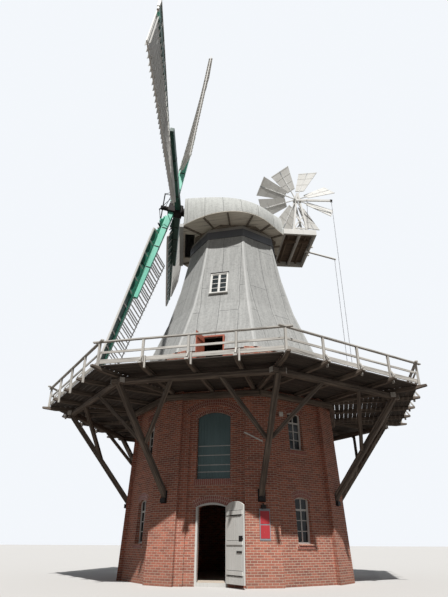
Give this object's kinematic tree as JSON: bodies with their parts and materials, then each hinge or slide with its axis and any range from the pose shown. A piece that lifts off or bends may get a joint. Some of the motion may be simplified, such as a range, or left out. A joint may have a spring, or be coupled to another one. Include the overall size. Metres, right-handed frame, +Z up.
{
  "type": "windmill",
  "caption": "Brick and timber gallery windmill with a smock tower, turning cap, shuttered sails and fan wheel",
  "frame": {"origin": "centre of the tower at ground level, on the underside of the ground floor", "axes": "+X to the right of someone who faces the entrance side, +Y away from them through the tower, +Z up"},
  "size_m": [17.297, 23.9838, 32.1713],
  "materials": {
    "brick": "matte",
    "floor_boards": "matte",
    "white_paint": "satin",
    "glass": "gloss",
    "grey_green_paint": "satin",
    "red_paint": "satin",
    "smock_cladding": "matte",
    "cap_cladding": "matte",
    "dark_paint": "matte",
    "pale_timber": "matte",
    "dark_timber": "matte",
    "weathered_boards": "matte",
    "iron": "matte",
    "mint_paint": "satin",
    "green_paint": "satin"
  },
  "bodies": {
    "tower": {"ground_floor": "floor_boards", "upper_floors": "floor_boards", "front_wall_sides": "brick", "front_wall_middle": "brick", "window_walls": "brick", "plain_walls": "brick", "corner_pilasters": "brick", "window_frames": "white_paint", "window_glass": "glass", "window_sills": "brick", "entrance_frame": "white_paint", "loading_door": "grey_green_paint", "gallery_door": "red_paint", "smock_front": "smock_cladding", "smock_sides": "smock_cladding", "smock_diagonals": "smock_cladding", "smock_windows": "white_paint", "curb_band": "dark_paint", "curb_ring": "pale_timber", "gallery_wall_plate": "dark_timber", "gallery_ring_beam": "dark_timber", "gallery_joists": "dark_timber", "gallery_deck": "weathered_boards", "gallery_struts": "dark_timber", "gallery_braces": "dark_timber", "gallery_posts": "weathered_boards", "gallery_handrail": "weathered_boards", "gallery_lower_rails": "weathered_boards"},
    "door": {"entrance_leaf": "white_paint"},
    "cap": {"cap_frame": "pale_timber", "cap_soffit": "pale_timber", "cap_front_beam": "pale_timber", "cap_roof": "cap_cladding", "cap_ends": "pale_timber", "tail_stage": "white_paint", "fan_posts": "white_paint", "striking_pole": "white_paint", "striking_lever": "white_paint", "striking_chain": "iron"},
    "sails": {"windshaft": "iron", "poll_end": "iron", "inner_stock": "mint_paint", "outer_stock": "mint_paint", "stock_cheeks": "mint_paint", "sail_frame_1": "white_paint", "sail_frame_2": "white_paint", "sail_frame_3": "white_paint", "sail_frame_4": "white_paint", "sail_shutters": "white_paint", "leading_boards": "green_paint", "striking_spider": "iron"},
    "fan": {"fan_hub": "white_paint", "fan_blades": "white_paint"}
  },
  "joints": [
    {"name": "cap_turning", "type": "hinge", "parent": "tower", "child": "cap", "pos_m": [0, 0, 17.02], "axis": [0, 0, 1], "continuous": true},
    {"name": "sails_turning", "type": "hinge", "parent": "cap", "child": "sails", "pos_m": [-3.4811, -1.0976, 19.78], "axis": [-0.9304, -0.2933, 0.2198], "continuous": true},
    {"name": "fan_turning", "type": "hinge", "parent": "cap", "child": "fan", "pos_m": [3.8703, 1.6921, 21.6], "axis": [0.3007, -0.9537, 0], "continuous": true},
    {"name": "entrance_door", "type": "hinge", "parent": "tower", "child": "door", "pos_m": [0.5987, -4.705, 1.3], "axis": [0, 0, 1], "range_deg": [-135, 0]}
  ]
}
